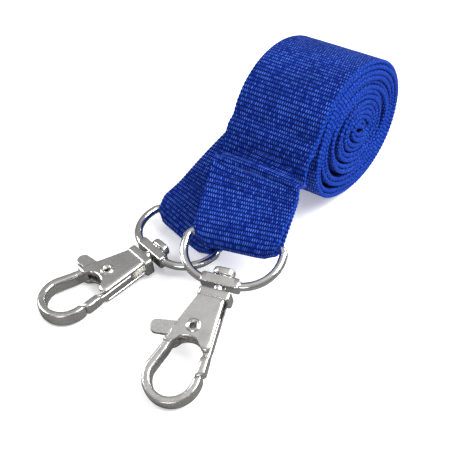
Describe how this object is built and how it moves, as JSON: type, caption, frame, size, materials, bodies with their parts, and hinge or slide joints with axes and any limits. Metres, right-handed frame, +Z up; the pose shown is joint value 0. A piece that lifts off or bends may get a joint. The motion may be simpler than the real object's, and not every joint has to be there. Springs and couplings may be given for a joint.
{
  "type": "lanyard",
  "caption": "Rolled-up flat webbing neck lanyard with a stitched loop, a D-ring and a swivel trigger clasp at both ends.",
  "frame": {"origin": "middle of the bounding box, on the surface the lanyard lies on", "axes": "+Y from the clasps to the roll, +X along the roll's axis to the right, +Z up"},
  "size_m": [0.0526, 0.1142, 0.0404],
  "materials": {
    "webbing": "woven polyester webbing, royal blue",
    "thread": "polyester sewing thread",
    "plated_wire": "bright nickel plated steel wire and die-cast block",
    "plated_casting": "nickel plated zinc die casting, satin faces",
    "plated_gate": "nickel plated lever",
    "plated_pins": "nickel plated turned pins",
    "spring_steel": "drawn spring wire"
  },
  "bodies": {
    "webbing": {"webbing_coil": "webbing", "front_strap_end": "webbing", "back_strap_end": "webbing", "front_stitching": "thread", "back_stitching": "thread"},
    "front_ring": {"front_d_ring": "plated_wire"},
    "front_hook": {"front_hook_body": "plated_casting", "front_swivel_pin": "plated_pins", "front_pivot_rivet": "plated_pins", "front_gate_spring": "spring_steel"},
    "front_gate": {"front_gate_lever": "plated_gate"},
    "back_ring": {"back_d_ring": "plated_wire"},
    "back_hook": {"back_hook_body": "plated_casting", "back_swivel_pin": "plated_pins", "back_pivot_rivet": "plated_pins", "back_gate_spring": "spring_steel"},
    "back_gate": {"back_gate_lever": "plated_gate"}
  },
  "joints": [
    {"name": "front_ring_hinge", "type": "hinge", "parent": "webbing", "child": "front_ring", "pos_m": [0.01234, -0.01432, 0.01468], "axis": [-0.9699, -0.2436, 0], "range_deg": [0, 75]},
    {"name": "front_swivel", "type": "hinge", "parent": "front_ring", "child": "front_hook", "pos_m": [0.01514, -0.02546, 0.01121], "axis": [0.2332, -0.9285, -0.289], "continuous": true},
    {"name": "front_gate_hinge", "type": "hinge", "parent": "front_hook", "child": "front_gate", "pos_m": [0.01635, -0.03809, 0.00743], "axis": [-0.0704, 0.2803, -0.9573], "range_deg": [0, 26], "stiffness_Nm_per_rad": 0.004, "springref_deg": -34.38},
    {"name": "back_ring_hinge", "type": "hinge", "parent": "webbing", "child": "back_ring", "pos_m": [-0.00716, -0.00882, 0.00418], "axis": [-0.9681, 0.2504, 0], "range_deg": [-60, 0]},
    {"name": "back_swivel", "type": "hinge", "parent": "back_ring", "child": "back_hook", "pos_m": [-0.01016, -0.02042, 0.00357], "axis": [-0.2501, -0.9669, -0.0506], "continuous": true},
    {"name": "back_gate_hinge", "type": "hinge", "parent": "back_hook", "child": "back_gate", "pos_m": [-0.01528, -0.03261, 0.00291], "axis": [0.0127, 0.049, -0.9987], "range_deg": [0, 26], "stiffness_Nm_per_rad": 0.004, "springref_deg": -34.38}
  ]
}
